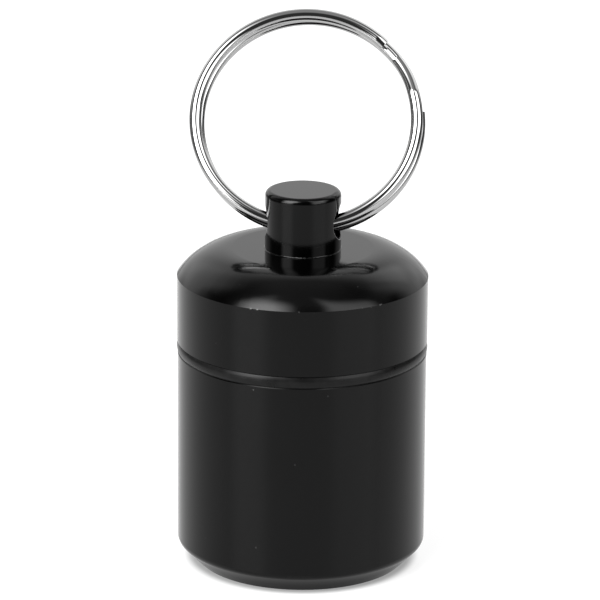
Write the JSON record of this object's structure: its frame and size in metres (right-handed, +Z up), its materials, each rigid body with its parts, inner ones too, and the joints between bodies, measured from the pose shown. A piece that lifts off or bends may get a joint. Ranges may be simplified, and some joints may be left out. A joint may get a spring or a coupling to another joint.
{
  "type": "pill fob keychain",
  "caption": "Small round screw-top canister for pills, with a rubber seal under its lid and a split key ring through a cross-drilled knob.",
  "frame": {"origin": "centre of the flat underside that the canister stands on", "axes": "+Z up along the canister's axis, X along the knob's cross hole, +Y to the side that the key ring leans to"},
  "size_m": [0.0268, 0.0276, 0.0579],
  "materials": {
    "black_anodised_aluminium": "black anodised, smooth and glossy",
    "black_rubber": "matte",
    "bright_plated_wire": "bright nickel plating on steel wire"
  },
  "bodies": {
    "canister": {"canister_body": "black_anodised_aluminium"},
    "seal": {"seal_o_ring": "black_rubber"},
    "lid": {"screw_lid": "black_anodised_aluminium"},
    "key_ring": {"split_ring": "bright_plated_wire"}
  },
  "joints": [
    {"name": "lid_lift", "type": "slide", "parent": "canister", "child": "seal", "axis": [0, 0, 1], "range_m": [0, 0.0053]},
    {"name": "lid_turn", "type": "hinge", "parent": "seal", "child": "lid", "pos_m": [0, 0, 0.02446], "axis": [0, 0, 1], "range_deg": [0, 1260]},
    {"name": "ring_swing", "type": "hinge", "parent": "lid", "child": "key_ring", "pos_m": [0, 0, 0.03768], "axis": [1, 0, 0], "range_deg": [-72, 143]}
  ],
  "couplings": [
    {"joint": "lid_lift", "follows": "lid_turn", "m_per_rad": 0.00023873}
  ]
}
